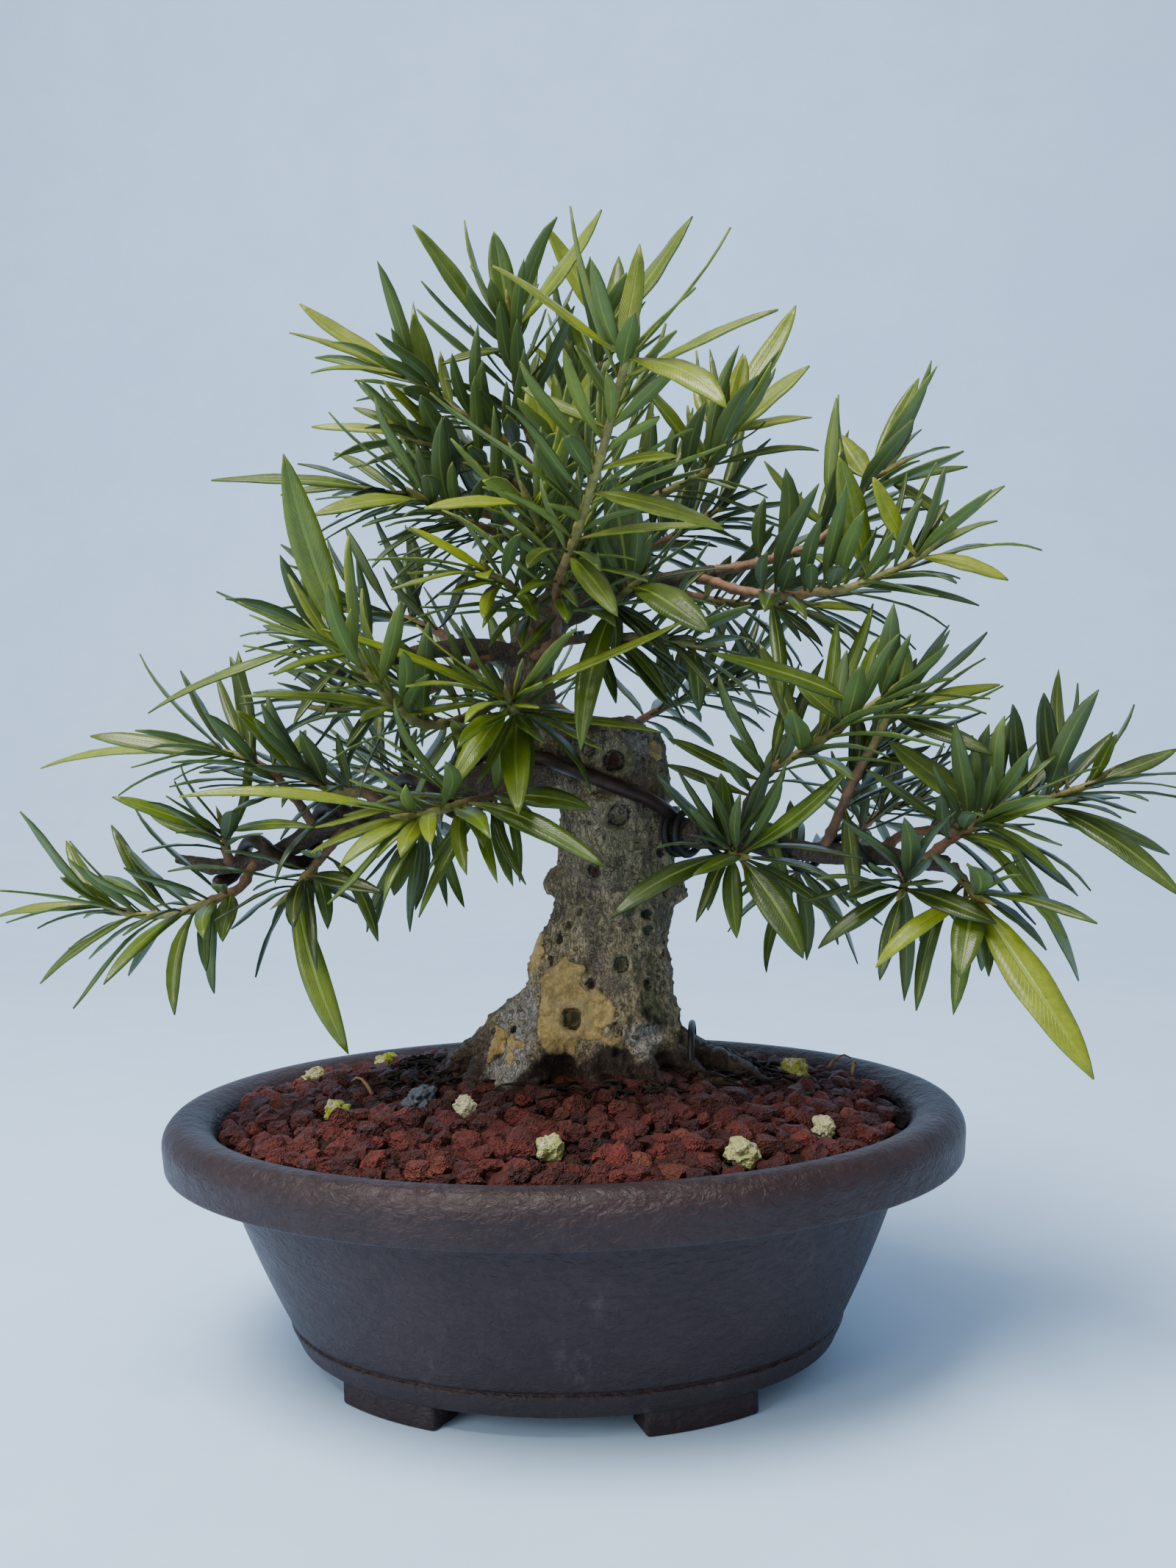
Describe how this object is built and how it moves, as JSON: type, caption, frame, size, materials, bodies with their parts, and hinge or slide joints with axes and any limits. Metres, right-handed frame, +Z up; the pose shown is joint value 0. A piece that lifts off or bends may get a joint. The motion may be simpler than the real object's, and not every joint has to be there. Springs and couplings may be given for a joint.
{
  "type": "willow leaf fig bonsai in an oval pot",
  "caption": "Small willow leaf fig tree with a flared trunk, wired limbs and long narrow leaves, growing in an oval plastic pot on feet.",
  "frame": {"origin": "middle of the bounding box's underside, on the surface that the pot's feet stand on", "axes": "+Z up, X along the pot's long side, -Y towards the tree's front"},
  "size_m": [0.226, 0.1472, 0.239],
  "materials": {
    "pot_plastic": "dark brown-black moulded plastic with an embossed leathery texture, pale lime marks and scuffs",
    "lava_soil": "brick-red and maroon crushed lava grains, matt and porous",
    "bark": "pale grey-beige bark with vertical fissures, green algae, healed knots and patches of tan wound paste",
    "leafy_shoot": "smooth waxy willow-like leaves, dark to olive green with pale midribs, on brown twigs with green tips",
    "wire": "dark anodised soft aluminium wire, satin",
    "pumice": "pale grey-green pumice, matt and pitted",
    "grey_stone": "dark blue-grey gravel, smooth and matt"
  },
  "bodies": {
    "root": {"pot": "pot_plastic", "soil": "lava_soil", "wood": "bark", "branch_wire": "wire", "coil_wire": "wire", "tie_wire": "wire", "pumice_left_edge": "pumice", "pumice_left_back": "pumice", "pumice_left": "pumice", "stone_grey": "grey_stone", "pumice_white": "pumice", "pumice_front": "pumice", "pumice_large": "pumice", "pumice_right_front": "pumice", "pumice_right": "pumice", "shoot_leader": "leafy_shoot", "shoot_crown_back": "leafy_shoot", "shoot_crown_left": "leafy_shoot", "shoot_crown_left_low": "leafy_shoot", "shoot_left_back_high": "leafy_shoot", "shoot_upper_left": "leafy_shoot", "shoot_crown_front": "leafy_shoot", "shoot_crown_right": "leafy_shoot", "shoot_right_back_high": "leafy_shoot", "shoot_front_shoot": "leafy_shoot", "shoot_front_twig": "leafy_shoot", "shoot_front_bud": "leafy_shoot", "shoot_right_inner": "leafy_shoot", "shoot_right_long_up": "leafy_shoot", "shoot_right_long_low": "leafy_shoot", "shoot_right_mid_tuft": "leafy_shoot", "shoot_right_mid_low": "leafy_shoot", "shoot_centre_front": "leafy_shoot", "shoot_left_front_shoot": "leafy_shoot", "shoot_left_mid_shoot": "leafy_shoot", "shoot_left_mid_tuft": "leafy_shoot", "shoot_left_mid_low": "leafy_shoot", "shoot_low_front": "leafy_shoot", "shoot_left_centre": "leafy_shoot", "shoot_left_up": "leafy_shoot", "shoot_left_end": "leafy_shoot", "shoot_left_long": "leafy_shoot", "shoot_left_under": "leafy_shoot", "shoot_left_hang": "leafy_shoot", "shoot_left_back": "leafy_shoot", "shoot_right_node": "leafy_shoot", "shoot_right_up_shoot": "leafy_shoot", "shoot_right_mid_shoot": "leafy_shoot", "shoot_right_under": "leafy_shoot", "shoot_right_end_low": "leafy_shoot", "shoot_right_end_mid": "leafy_shoot", "shoot_right_tip": "leafy_shoot", "shoot_right_hang": "leafy_shoot", "shoot_right_back": "leafy_shoot", "shoot_back_low_end": "leafy_shoot", "shoot_back_low_left": "leafy_shoot", "shoot_back_low_right": "leafy_shoot", "shoot_back_high_end": "leafy_shoot", "shoot_back_high_left": "leafy_shoot"}
  },
  "joints": []
}
